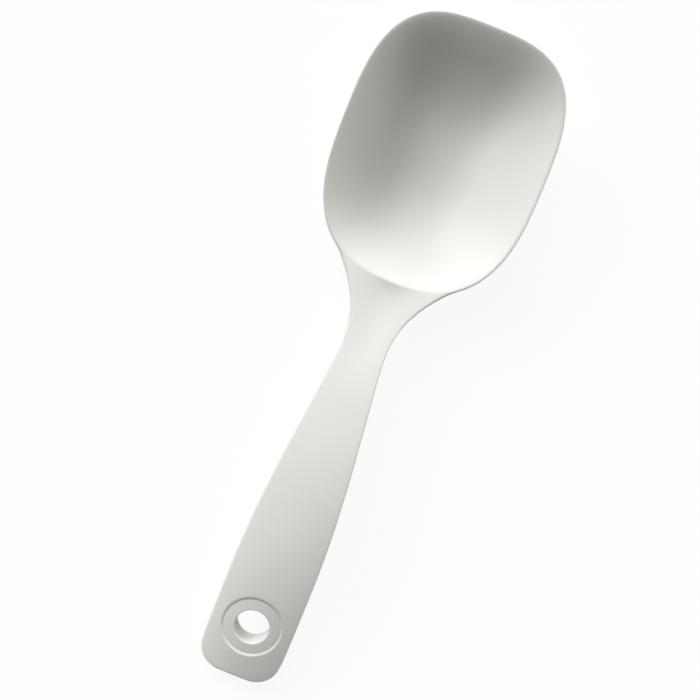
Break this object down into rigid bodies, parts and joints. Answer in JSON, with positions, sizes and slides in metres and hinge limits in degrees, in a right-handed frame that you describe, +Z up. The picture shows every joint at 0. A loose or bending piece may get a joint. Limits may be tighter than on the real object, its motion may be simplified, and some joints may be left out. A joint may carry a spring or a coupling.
{
  "type": "serving ladle",
  "caption": "Squarish open ladle with a short neck, an arched flat grip and a hanging hole, soft skin moulded over a rigid core.",
  "frame": {"origin": "middle of the small flat under the bowl, on the plane that the ladle lies on", "axes": "+X from the handle end towards the tip of the bowl, +Z up out of the bowl's mouth as the ladle lies at rest, the XZ plane is the middle plane"},
  "size_m": [0.2563, 0.0776, 0.0358],
  "materials": {
    "skin": "satin white silicone",
    "core": "satin white glass-filled nylon"
  },
  "bodies": {
    "root": {"skin": "skin", "core": "core"}
  },
  "joints": []
}
